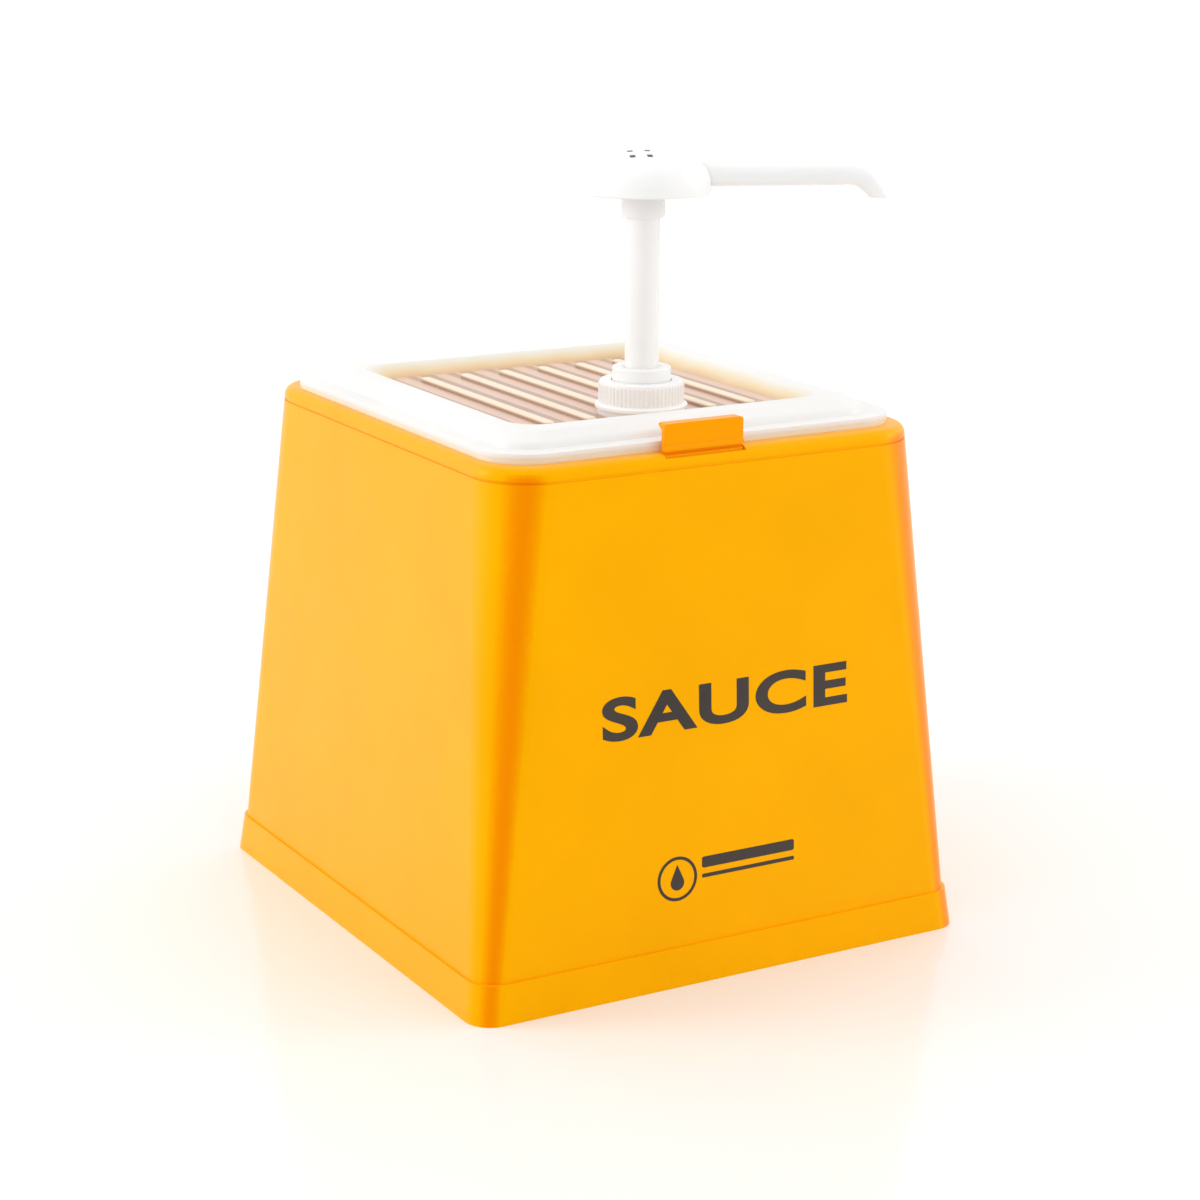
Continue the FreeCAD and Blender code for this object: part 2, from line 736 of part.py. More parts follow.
def dip_tube():
    """Straight tube to the bottom of the container, cut at a slant so that the floor can't close it."""
    body = new_body("dip_tube", "pump")
    revolve(
        body,
        "tube",
        [
            ("dip_bore", "dip_low"),
            ("dip_radius", "dip_low"),
            ("dip_radius", "tube_base"),
            ("dip_bore", "tube_base"),
        ],
    )
    cut = new_sketch(body, "slant_outline", "XZ_Plane")
    outline(
        cut,
        [
            ("-2 * dip_radius", "dip_low - 5"),
            ("2 * dip_radius", "dip_low - 5"),
            ("2 * dip_radius", "dip_low + dip_radius * 1.5"),
            ("-2 * dip_radius", "dip_low - dip_radius / 2"),
        ],
    )
    extrude(body, "slant", cut, "4 * dip_radius", cut=True, middle=True)


def stem_guide():
    """Collar that snaps into the top of the cylinder, keeps the piston in and guides the stem."""
    body = new_body("stem_guide", "pump")
    seat = "neck_top + gasket_thick + clamp_thick"
    revolve(
        body,
        "collar",
        [
            ("wiper_radius + 0.05", "guide_low"),
            ("guide_spigot", "guide_low"),
            ("guide_spigot", seat),
            ("guide_radius", seat),
            ("guide_radius", "guide_top"),
            ("stem_radius + 1.2", "guide_top"),
            ("stem_radius + slide_gap", "guide_top - 1.2"),
            ("stem_radius + slide_gap", "guide_low + wiper_seat"),
            ("wiper_radius + 0.05", "guide_low + wiper_seat"),
        ],
    )
    soften(body, "collar_edge", "cap_edge", ring_at("guide_radius", "guide_top"))


def guide_wiper():
    """Lip seal in the guide that wipes the stem."""
    body = new_body("guide_wiper", "pump")
    top = "guide_low + wiper_seat"
    revolve(
        body,
        "seal",
        [
            ("stem_radius + slide_gap", f"{top} - wiper_thick"),
            ("wiper_radius", f"{top} - wiper_thick"),
            ("wiper_radius", top),
            ("stem_radius + 0.9", top),
            ("stem_radius + slide_gap", f"{top} - wiper_thick / 2"),
        ],
    )


def inlet_ball_cage():
    """Insert on the cylinder's floor. It keeps the inlet ball over its seat and carries the spring."""
    body = new_body("inlet_ball_cage", "pump")
    top = "tube_floor + cage_high + cage_web"
    revolve(
        body,
        "cage",
        [
            ("cage_bore", "tube_floor"),
            ("cage_radius", "tube_floor"),
            ("cage_radius", top),
            ("cage_hole", top),
            ("cage_hole", f"{top} - cage_web"),
            ("cage_bore", f"{top} - cage_web"),
        ],
    )
    port = new_sketch(body, "port_outline", "XY_Plane", top)
    circle(port, "cage_port", "cage_port_out")
    first = extrude(body, "port", port, "cage_web * 2", cut=True)
    z_axis = next(f for f in body.Origin.OriginFeatures if f.Role == "Z_Axis")
    repeat(body, "ports", first, "PolarPattern", (z_axis, [""]), "cage_port_count")


def ball(label, radius, height):
    """A valve ball."""
    sphere = DOC.addObject("Part::Sphere", label)
    sphere.Label = label
    sphere.setExpression("Radius", bind(radius))
    sphere.setExpression("Placement.Base.y", bind("-pump_front"))
    sphere.setExpression("Placement.Base.z", bind(height))
    PARTS.append(sphere)


def return_spring():
    """Stainless compression spring between the cage and the piston's foot."""
    body = new_body("return_spring", "pump")
    wire = new_sketch(body, "wire_outline", "XZ_Plane")
    circle(wire, "spring_wire", "spring_mean", "spring_low + spring_wire")
    DOC.recompute()
    coil = body.newObject("PartDesign::AdditiveHelix", "coil")
    coil.Profile = wire
    coil.ReferenceAxis = (wire, ["V_Axis"])
    coil.Mode = "pitch-height-angle"
    coil.setExpression("Height", bind("spring_top - spring_low - 2 * spring_wire"))
    coil.setExpression("Pitch", bind("(spring_top - spring_low - 2 * spring_wire) / spring_turns"))
    DOC.recompute()


def closure_cap():
    """Screw cap with finger ribs that clamps the pump's flange onto the neck."""
    body = new_body("closure_cap", "pump")
    ceiling = "neck_top + gasket_thick + clamp_thick"
    revolve(
        body,
        "shell",
        [
            ("cap_bore", "cap_low"),
            ("cap_flange", "cap_low"),
            ("cap_flange", "cap_low + cap_flange_high * 0.6"),
            ("cap_radius + cap_rib", "cap_low + cap_flange_high"),
            ("cap_radius", "cap_low + cap_flange_high"),
            ("cap_radius", "cap_top"),
            ("cap_hole", "cap_top"),
            ("cap_hole", ceiling),
            ("cap_bore", ceiling),
        ],
    )
    soften(body, "shell_edge", "cap_edge", ring_at("cap_radius", "cap_top"))
    rib = new_sketch(body, "rib_outline", "XY_Plane", "cap_low + cap_flange_high / 2")
    outline(
        rib,
        [
            ("cap_radius - 0.3", "-cap_rib_wide / 2"),
            ("cap_radius + cap_rib", "-cap_rib_wide / 4"),
            ("cap_radius + cap_rib", "cap_rib_wide / 4"),
            ("cap_radius - 0.3", "cap_rib_wide / 2"),
        ],
    )
    rib_long = "cap_top - cap_low - cap_flange_high / 2 - 2 * cap_edge"
    first = extrude(body, "rib", rib, rib_long)
    z_axis = next(f for f in body.Origin.OriginFeatures if f.Role == "Z_Axis")
    repeat(body, "ribs", first, "PolarPattern", (z_axis, [""]), "cap_rib_count")


# piston, stem and head -------------------------------------------------------------------------


def piston_core():
    """Hollow carrier of the piston. Its upper spigot turns in the stem and is the outlet ball's seat."""
    body = new_body("piston_core", "pump")
    revolve(
        body,
        "core",
        [
            ("core_bore", "spring_top"),
            ("core_foot", "spring_top"),
            ("core_foot", "piston_low"),
            ("core_radius", "piston_low"),
            ("core_radius", "piston_top"),
            ("core_shoulder", "piston_top"),
            ("core_shoulder", "stem_low"),
            ("core_spigot", "stem_low"),
            ("core_spigot", "core_spigot_top"),
            ("core_bore", "core_spigot_top"),
        ],
    )


def piston_seal():
    """Soft piston with a lip at each end that runs in the cylinder."""
    body = new_body("piston_seal", "pump")
    inner = "core_radius + 0.02"
    revolve(
        body,
        "seal",
        [
            (inner, "piston_low"),
            ("piston_radius - 1.2", "piston_low"),
            ("piston_radius", "piston_low + 0.01"),
            ("piston_radius", "piston_low + piston_lip / 2"),
            ("piston_waist", "piston_low + piston_lip"),
            ("piston_waist", "piston_top - piston_lip"),
            ("piston_radius", "piston_top - piston_lip / 2"),
            ("piston_radius", "piston_top"),
            ("piston_radius - 0.8", "piston_top"),
            ("core_radius + 1.2", "piston_top - piston_lip"),
            (inner, "piston_top - piston_lip"),
        ],
    )


def pump_stem():
    """Hollow stem from the piston to the head."""
    body = new_body("pump_stem", "pump")
    revolve(
        body,
        "stem",
        [
            ("stem_socket", "stem_low"),
            ("stem_radius", "stem_low"),
            ("stem_radius", "stem_top"),
            ("stem_bore", "stem_top"),
            ("stem_bore", "stem_socket_top"),
            ("stem_socket", "stem_socket_top"),
        ],
    )


def outlet_ball_stop():
    """Slotted ring in the stem that limits the outlet ball's lift."""
    body = new_body("outlet_ball_stop", "pump")
    revolve(
        body,
        "ring",
        [
            ("stop_bore", "stop_low"),
            ("stop_radius", "stop_low"),
            ("stop_radius", "stop_low + stop_high"),
            ("stop_bore", "stop_low + stop_high"),
        ],
    )
    slot = new_sketch(body, "slot_outline", "XY_Plane", "stop_low + stop_slot_high")
    outline(
        slot,
        [
            ("stop_bore - 0.6", "-stop_slot / 2"),
            ("stop_radius + 0.6", "-stop_slot / 2"),
            ("stop_radius + 0.6", "stop_slot / 2"),
            ("stop_bore - 0.6", "stop_slot / 2"),
        ],
    )
    first = extrude(body, "slot", slot, "stop_slot_high * 1.2", cut=True)
    z_axis = next(f for f in body.Origin.OriginFeatures if f.Role == "Z_Axis")
    repeat(body, "slots", first, "PolarPattern", (z_axis, [""]), "stop_slot_count")


def head_hub():
    """Socket that joins the stem to the spout. Its lower end is the collar seen under the dome."""
    body = new_body("head_hub", "pump")
    turn_to_spout(body)
    socket = "stem_radius + 0.02"
    revolve(
        body,
        "hub",
        [
            (socket, "collar_low"),
            ("collar_radius - 0.3", "collar_low"),
            ("collar_radius", "collar_low + 0.3"),
            ("collar_radius", "hub_top"),
            ("0", "hub_top"),
            ("0", "hub_bore_top"),
            ("stem_bore", "hub_bore_top"),
            ("stem_bore", "stem_top"),
            (socket, "stem_top"),
        ],
    )
    port = new_sketch(body, "port_outline", "YZ_Plane", "spout_start")
    circle(port, "spout_root + spout_fit", "0", "spout_high")
    extrude(body, "port", port, "collar_radius", cut=True, reverse=True)


def palm_dome():
    """Round palm rest, a shell open below, with a hole for the spout and webs that centre it on the hub."""
    body = new_body("palm_dome", "pump")
    turn_to_spout(body)
    inner = "dome_radius - dome_wall"
    ceiling = "dome_top - dome_wall"
    revolve(
        body,
        "shell",
        [
            ("0", "dome_top", "dome_crown"),
            ("dome_radius", "dome_edge_high"),
            ("dome_radius", "dome_low"),
            (inner, "dome_low"),
            (inner, "dome_edge_high - dome_round + 1"),
            (f"{inner} - dome_round / 4", "dome_edge_high - dome_round / 2 + 1"),
            (f"{inner} - dome_round * 0.75", f"{ceiling} - 1.6"),
            ("collar_radius", ceiling),
            ("0", ceiling),
        ],
        plane="YZ_Plane",
    )
    soften(body, "outer_round", "dome_round", ring_at("dome_radius", "dome_edge_high"))
    soften(body, "skirt_round", "dome_skirt_round", ring_at("dome_radius", "dome_low"))
    web = new_sketch(body, "web_outline", "XZ_Plane")
    half_pitch = FreeCAD.Rotation(FreeCAD.Vector(0, 1, 0), size("180 / dome_rib_count"))
    web.AttachmentOffset = FreeCAD.Placement(FreeCAD.Vector(), half_pitch)
    web.setExpression("AttachmentOffset.Rotation.Angle", bind("180 / dome_rib_count"))
    outline(
        web,
        [
            ("collar_radius + 0.02", "dome_rib_low"),
            (f"{inner} - dome_round / 2", "dome_rib_low"),
            (f"{inner} + 0.3", "dome_edge_high - dome_round + 0.6"),
            (f"{inner} - dome_round / 4 + 0.2", "dome_edge_high - dome_round / 2 + 1.2"),
            (f"{inner} - dome_round * 0.75 + 0.1", f"{ceiling} - 1.4"),
            ("collar_radius + 0.02", f"{ceiling} + 0.2"),
        ],
    )
    first = extrude(body, "web", web, "dome_rib_wide", middle=True)
    z_axis = next(f for f in body.Origin.OriginFeatures if f.Role == "Z_Axis")
    repeat(body, "webs", first, "PolarPattern", (z_axis, [""]), "dome_rib_count")
    hole = new_sketch(body, "hole_outline", "YZ_Plane")
    circle(hole, "spout_root + spout_fit", "0", "spout_high")
    extrude(body, "hole", hole, "dome_radius * 1.2", cut=True, reverse=True)


def spout_tube():
    """Tapered spout: a straight run, one bend down and a short tail that is cut level."""
    skin = spout_run("spout_skin", "spout_start", "spout_root", "spout_mid", "spout_tip", "spout_tail")
    longer = ("spout_start - 1", "spout_bore", "spout_bore", "spout_tip_bore", "spout_tail + 1")
    bore = spout_run("spout_bore", *longer)
    below = DOC.addObject("Part::Box", "spout_below")
    for side in ("Length", "Width", "Height"):
        below.setExpression(side, bind("2 * spout_tail"))
    below.setExpression("Placement.Base.x", bind("spout_bend_start"))
    below.setExpression("Placement.Base.y", bind("-spout_tail"))
    below.setExpression("Placement.Base.z", bind("spout_cut - 2 * spout_tail"))
    away = DOC.addObject("Part::MultiFuse", "spout_away")
    away.Shapes = [bore, below]
    tube = DOC.addObject("Part::Cut", "spout_tube")
    tube.Label = "spout_tube"
    tube.Base = skin
    tube.Tool = away
    turn_to_spout(tube)
    PARTS.append(tube)
    DOC.recompute()


def spout_run(name, start, root, middle, tip, tail):
    """A straight cone, a bend and a falling cone along the spout's middle line, joined as one solid."""
    straight = DOC.addObject("Part::Cone", name + "_straight")
    straight.setExpression("Radius1", bind(root))
    straight.setExpression("Radius2", bind(middle))
    straight.setExpression("Height", bind(f"spout_bend_start - ({start})"))
    straight.Placement.Rotation = FreeCAD.Rotation(FreeCAD.Vector(0, 1, 0), 90)
    straight.setExpression("Placement.Base.x", bind(start))
    straight.setExpression("Placement.Base.z", bind("spout_high"))

    bend = DOC.addObject("Part::Torus", name + "_bend")
    bend.setExpression("Radius1", bind("spout_bend_radius"))
    bend.setExpression("Radius2", bind(middle))
    bend.setExpression("Angle3", bind("spout_bend_angle"))
    sideways = FreeCAD.Vector(1, 0, 0)
    across = FreeCAD.Vector(0, 1, 0)
    upward = FreeCAD.Vector(0, 0, 1)
    bend.Placement.Rotation = FreeCAD.Rotation(upward, sideways, across, "ZXY")
    bend.setExpression("Placement.Base.x", bind("spout_bend_start"))
    bend.setExpression("Placement.Base.z", bind("spout_high - spout_bend_radius"))

    falling = DOC.addObject("Part::Cone", name + "_falling")
    falling.setExpression("Radius1", bind(middle))
    falling.setExpression("Radius2", bind(tip))
    falling.setExpression("Height", bind(tail))
    falling.Placement.Rotation = FreeCAD.Rotation(across, 90 + size("spout_bend_angle"))
    falling.setExpression("Placement.Rotation.Angle", bind("90 + spout_bend_angle"))
    bend_end = "spout_bend_start + spout_bend_radius * sin(spout_bend_angle * 1 deg)"
    falling.setExpression("Placement.Base.x", bind(bend_end))
    bend_drop = "spout_high - spout_bend_radius * (1 - cos(spout_bend_angle * 1 deg))"
    falling.setExpression("Placement.Base.z", bind(bend_drop))

    run = DOC.addObject("Part::MultiFuse", name)
    run.Shapes = [straight, bend, falling]
    return run


# build and export ------------------------------------------------------------------------------


def build():
    stand_housing()
    rim_latch()
    food_container()
    container_lid()
    neck_gasket()
    closure_cap()
    pump_cylinder()
    stem_guide()
    guide_wiper()
    dip_tube()
    inlet_ball_cage()
    ball("inlet_ball", "inlet_ball", "inlet_ball_high")
    return_spring()
    piston_core()
    piston_seal()
    ball("outlet_ball", "outlet_ball", "outlet_ball_high")
    pump_stem()
    outlet_ball_stop()
    head_hub()
    palm_dome()
    spout_tube()
    DOC.recompute()


def check_document():
    """Stops before anything is written if an object failed or a piece isn't one sound solid."""
    for thing in DOC.Objects:
        if any(state in ("Invalid", "Error") for state in thing.State):
            raise RuntimeError(f"{thing.Label} failed: {thing.State}")
    for piece in PARTS:
        shape = piece.Shape
        if shape.isNull() or not shape.isValid() or len(shape.Solids) != 1:
            raise RuntimeError(f"{piece.Label} isn't one valid solid")


def export():
    os.makedirs("parts", exist_ok=True)
    for piece in PARTS:
        piece.Shape.exportStep(f"parts/{piece.Label}.step")
        print(f"{piece.Label}: {piece.Shape.Volume / 1000:.2f} cm3")


build()
check_document()
export()
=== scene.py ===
"""Looks of the condiment pump dispenser: plastics, print, spring, thread, studio and camera.

Metres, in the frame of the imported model: +Z up, -Y the front face, origin under the middle of the stand.
"""
import math

import bmesh
import bpy
from mathutils import Matrix, Vector


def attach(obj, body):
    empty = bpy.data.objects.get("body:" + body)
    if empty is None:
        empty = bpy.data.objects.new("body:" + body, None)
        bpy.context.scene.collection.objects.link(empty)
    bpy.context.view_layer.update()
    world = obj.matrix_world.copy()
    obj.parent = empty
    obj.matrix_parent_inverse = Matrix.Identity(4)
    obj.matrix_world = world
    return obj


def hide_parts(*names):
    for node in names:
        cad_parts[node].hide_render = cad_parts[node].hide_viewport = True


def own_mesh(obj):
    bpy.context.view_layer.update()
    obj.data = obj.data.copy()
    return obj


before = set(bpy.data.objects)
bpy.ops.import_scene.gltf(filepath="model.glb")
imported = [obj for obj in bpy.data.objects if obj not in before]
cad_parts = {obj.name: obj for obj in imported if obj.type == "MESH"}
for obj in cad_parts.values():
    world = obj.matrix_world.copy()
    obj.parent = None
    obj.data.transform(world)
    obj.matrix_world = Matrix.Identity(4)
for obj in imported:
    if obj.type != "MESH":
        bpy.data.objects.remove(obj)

MM = 0.001
PUMP_AXIS = Vector((0, -40 * MM, 0))
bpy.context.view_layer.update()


# materials -------------------------------------------------------------------------------------


class Shader:
    """A material under construction: its nodes are added one after another and linked by name."""

    def __init__(self, name):
        self.material = bpy.data.materials.new(name)
        self.material.use_nodes = True
        self.tree = self.material.node_tree
        self.surface = self.tree.nodes["Principled BSDF"]
        self.place = self.add("ShaderNodeTexCoord").outputs["Object"]

    def add(self, kind, **settings):
        node = self.tree.nodes.new(kind)
        for key, value in settings.items():
            setattr(node, key, value)
        return node

    def link(self, source, target):
        self.tree.links.new(source, target)

    def noise(self, scale, detail=3.0, stretch=(1, 1, 1)):
        """Noise in the object's own space, with about scale cells a metre."""
        mapping = self.add("ShaderNodeMapping")
        mapping.inputs["Scale"].default_value = stretch
        self.link(self.place, mapping.inputs["Vector"])
        noise = self.add("ShaderNodeTexNoise")
        noise.inputs["Scale"].default_value = scale
        noise.inputs["Detail"].default_value = detail
        self.link(mapping.outputs["Vector"], noise.inputs["Vector"])
        return noise.outputs["Fac"]

    def spread(self, value, low, high, start=0.3, end=0.7):
        """value, taken from start..end to low..high."""
        node = self.add("ShaderNodeMapRange")
        self.link(value, node.inputs["Value"])
        node.inputs["From Min"].default_value = start
        node.inputs["From Max"].default_value = end
        node.inputs["To Min"].default_value = low
        node.inputs["To Max"].default_value = high
        return node.outputs["Result"]

    def maths(self, operation, first, second=None):
        node = self.add("ShaderNodeMath", operation=operation)
        for socket, value in zip(node.inputs, (first, second)):
            if isinstance(value, (int, float)):
                socket.default_value = value
            elif value is not None:
                self.link(value, socket)
        return node.outputs["Value"]

    def blend(self, share, first, second):
        """A colour between two colours or colour sockets."""
        node = self.add("ShaderNodeMix", data_type="RGBA")
        if isinstance(share, (int, float)):
            node.inputs["Factor"].default_value = share
        else:
            self.link(share, node.inputs["Factor"])
        for key, value in (("A", first), ("B", second)):
            socket = next(s for s in node.inputs if s.name == key and s.type == "RGBA")
            if isinstance(value, tuple):
                socket.default_value = (*value, 1)
            else:
                self.link(value, socket)
        return next(s for s in node.outputs if s.type == "RGBA")

    def ramp(self, value, stops):
        """A colour that runs through stops of the form (value, colour)."""
        node = self.add("ShaderNodeValToRGB")
        self.link(value, node.inputs["Fac"])
        elements = node.color_ramp.elements
        while len(elements) < len(stops):
            elements.new(0.5)
        for element, (position, color) in zip(elements, stops):
            element.position = position
            element.color = (*color, 1)
        return node.outputs["Color"]

    def bump(self, height, depth, strength=1.0):
        """Adds relief of that depth in metres on top of the relief that is there already."""
        node = self.add("ShaderNodeBump")
        node.inputs["Strength"].default_value = strength
        node.inputs["Distance"].default_value = depth
        self.link(height, node.inputs["Height"])
        before = self.surface.inputs["Normal"]
        if before.is_linked:
            self.link(before.links[0].from_socket, node.inputs["Normal"])
        self.link(node.outputs["Normal"], before)


CLOUD_CELLS = 22
GLOSS_CELLS = 70
GLOSS_RANGE = (0.88, 1.12)
WAVE_CELLS = 35
WAVE_DEPTH = 0.12 * MM
WAVE_STRENGTH = 0.25
GLOW_BY_CHANNEL = (1.0, 0.85, 0.7)
GLOW_DEPTH = 2.5 * MM


def plastic(name, color, roughness=0.35, variation=0.04, grain=1500, depth=0.02 * MM, glow=0.0, shine=0.4):
    """Moulded plastic: faint cloudy colour, uneven gloss, a fine grain. glow is how far light enters."""
    shader = Shader(name)
    darker = tuple(channel * (1 - variation) for channel in color)
    lighter = tuple(min(1.0, channel * (1 + variation / 2)) for channel in color)
    shader.base = shader.blend(shader.spread(shader.noise(CLOUD_CELLS, 5), 0, 1), darker, lighter)
    shader.link(shader.base, shader.surface.inputs["Base Color"])
    smoother, rougher = (roughness * share for share in GLOSS_RANGE)
    gloss = shader.spread(shader.noise(GLOSS_CELLS, 4), smoother, rougher)
    shader.link(gloss, shader.surface.inputs["Roughness"])
    shader.bump(shader.noise(grain, 2), depth)
    shader.bump(shader.noise(WAVE_CELLS, 2), WAVE_DEPTH, WAVE_STRENGTH)
    shader.surface.inputs["Subsurface Weight"].default_value = glow
    shader.surface.inputs["Subsurface Radius"].default_value = GLOW_BY_CHANNEL
    shader.surface.inputs["Subsurface Scale"].default_value = GLOW_DEPTH
    shader.surface.inputs["Specular IOR Level"].default_value = shine
    return shader


def recolor(shader, share, color):
    """Lays a colour, or a colour socket, over the shader's base colour where share is 1."""
    shader.base = shader.blend(share, shader.base, color)
    shader.link(shader.base, shader.surface.inputs["Base Color"])


YELLOW_TINT = (1.0, 0.8, 0.0, 1)
# Darker yellow in faint streaks towards the stand's foot.
DARKER_FOOT_HIGH = 10 * MM
DARKER_FOOT_SHARE = 0.12
DARKER_FOOT_STREAKS = (0.52, 0.72)
DARKER_FOOT_CELLS = 420
DARKER_FOOT_STRETCH = (1, 1, 0.3)
CORNER_POWER = 3
CORNER_TURN = (0.15, 0.325)


def yellow_plastic(name, color):
    """Strongly dyed plastic. Its gloss takes the dye's colour, so that it stays yellow in full light."""
    shader = plastic(name, color, roughness=0.32, grain=1100, depth=0.03 * MM, shine=0.4)
    shader.surface.inputs["Specular Tint"].default_value = YELLOW_TINT
    return shader


def stand_plastic():
    """Yellow, darker in faint streaks towards the foot, with a painted reflection on the rounded upright
    corners.

    The painted reflection is a darker band that follows the direction a face turns to in the object's own
    frame, so it stays put in every view. It is strongest a third of the way round each corner from the
    front or back face.
    """
    shader = yellow_plastic("stand_yellow", YELLOW)
    height = shader.add("ShaderNodeSeparateXYZ")
    shader.link(shader.place, height.inputs["Vector"])
    # Darker yellow in faint streaks over the lowest 10 mm, fading upwards.
    darker_foot = shader.maths("MULTIPLY", shader.spread(height.outputs["Z"], 1, 0, 0, DARKER_FOOT_HIGH), DARKER_FOOT_SHARE)
    streaks = shader.spread(shader.noise(DARKER_FOOT_CELLS, 6, DARKER_FOOT_STRETCH), 0, 1, *DARKER_FOOT_STREAKS)
    darker_foot = shader.maths("MULTIPLY", darker_foot, streaks)
    recolor(shader, darker_foot, DEEP_YELLOW)
    # Painted reflection: a darker, more orange band on the rounded upright corners, set by the face's
    # direction.
    facing = shader.add("ShaderNodeSeparateXYZ")
    shader.link(shader.add("ShaderNodeTexCoord").outputs["Normal"], facing.inputs["Vector"])
    sideways = shader.maths("ABSOLUTE", facing.outputs["X"])
    forwards = shader.maths("POWER", shader.maths("ABSOLUTE", facing.outputs["Y"]), CORNER_POWER)
    corner = shader.spread(shader.maths("MULTIPLY", sideways, forwards), 0, 1, *CORNER_TURN)
    recolor(shader, corner, CORNER_PAINTED_REFLECTION)
    return shader.material


BASIN_EDGE = (-0.6 * MM, -0.3 * MM)
BASIN_SOFT = 0.5 * MM
PAD_SOFT = 0.4 * MM
MIST_CELLS = 60
MIST_SHARE = 0.35
STREAK_SHARE = 0.5
STREAK_CELLS = 160
STREAK_STRETCH = (6, 0.5, 1)
STREAK_RANGE = (0.35, 0.65)
RIBS_LEFT_OF_MIDDLE = 3
# Painted shadow and shade beside the recess ribs:
RIB_SHADOW_SHARE = 0.85
RIB_SHADOW_STARTS = (4.4, 6.2)
RIB_SHADE_TAN_STARTS = (8.2, 9.8)
RIB_SHADE_TAN_ENDS = (10.2, 11.4)
CREST = (0.7 * MM, 1.3 * MM)
FLAT_INSET_ACROSS = 6.5 * MM
FLAT_INSET_ALONG = 5.5 * MM
FLAT_SOFT = 2.5 * MM


def lid_plastic():
    """White border. In the recess the thin plastic shows the warm colour below, and painted shade lies
    beside the ribs.

    The painted shade beside the ribs, brown with a tan band across each rib's +X flank, starts and ends at
    millimetres along X within each rib's pitch.
    """
    shader = plastic("lid_white", LID_WHITE, roughness=0.32, grain=900, glow=0.2)
    parts = shader.add("ShaderNodeSeparateXYZ")
    shader.link(shader.place, parts.inputs["Vector"])
    x, y, z = parts.outputs["X"], parts.outputs["Y"], parts.outputs["Z"]
    from_middle_x = shader.maths("ABSOLUTE", x)
    from_middle_y = shader.maths("ABSOLUTE", y)

    def within(half_wide, half_deep, soft):
        across = shader.spread(from_middle_x, 1, 0, half_wide - soft, half_wide)
        along = shader.spread(from_middle_y, 1, 0, half_deep - soft, half_deep)
        return shader.maths("MULTIPLY", across, along)

    above = shader.spread(z, 0, 1, *(LID_FACE + step for step in BASIN_EDGE))
    basin = shader.maths("MULTIPLY", above, within(RECESS_WIDE / 2, RECESS_DEEP / 2, BASIN_SOFT))
    behind = shader.maths("SUBTRACT", y, PUMP_AXIS.y)
    squares = shader.maths("ADD", shader.maths("MULTIPLY", x, x), shader.maths("MULTIPLY", behind, behind))
    from_pump = shader.maths("SQRT", squares)
    off_pad = shader.spread(from_pump, 0, 1, PAD_RADIUS, PAD_RADIUS + PAD_SOFT)
    basin = shader.maths("MULTIPLY", basin, off_pad)
    depth = shader.spread(z, 1, 0, LID_FACE, LID_TOP)
    mist = shader.maths("MULTIPLY", shader.maths("SUBTRACT", shader.noise(MIST_CELLS, 4), 0.5), MIST_SHARE)
    wall = shader.ramp(shader.maths("ADD", depth, mist), RECESS_WALL)
    recolor(shader, basin, wall)

    beside = shader.maths("DIVIDE", shader.maths("ADD", x, RIB_PITCH * RIBS_LEFT_OF_MIDDLE), RIB_PITCH)
    beside = shader.maths("MULTIPLY", shader.maths("FRACT", beside), RIB_PITCH / MM)
    streaks = shader.spread(shader.noise(STREAK_CELLS, 4, STREAK_STRETCH), 0, 1, *STREAK_RANGE)
    floor = shader.blend(shader.maths("MULTIPLY", streaks, STREAK_SHARE), RECESS_PINK, TAN_STREAKS_AND_RIB_SHADE)
    # Painted shadow: brown over the floor from just before each rib's -X side.
    rib_shadow = shader.spread(beside, 0, 1, *RIB_SHADOW_STARTS)
    floor = shader.blend(shader.maths("MULTIPLY", rib_shadow, RIB_SHADOW_SHARE), floor, RIB_PAINTED_SHADOW)
    # Painted shade: a tan band across each rib's +X flank, over the brown.
    rib_shade_tan_fall = shader.spread(beside, 1, 0, *RIB_SHADE_TAN_ENDS)
    rib_shade_tan_rise = shader.spread(beside, 0, 1, *RIB_SHADE_TAN_STARTS)
    floor = shader.blend(shader.maths("MULTIPLY", rib_shade_tan_rise, rib_shade_tan_fall), floor, TAN_STREAKS_AND_RIB_SHADE)
    crest = shader.spread(z, 0, 1, *(LID_FACE + step for step in CREST))
    floor = shader.blend(crest, floor, RIB_CREAM)
    half_flat = (RECESS_WIDE / 2 - FLAT_INSET_ACROSS, RECESS_DEEP / 2 - FLAT_INSET_ALONG)
    flat = within(*half_flat, FLAT_SOFT)
    recolor(shader, shader.maths("MULTIPLY", basin, flat), floor)
    return shader.material


YELLOW = (0.98, 0.425, 0.0)
DEEP_YELLOW = (0.70, 0.26, 0.0)
# Painted reflection on the stand's rounded upright corners.
CORNER_PAINTED_REFLECTION = (0.93, 0.245, 0.0)
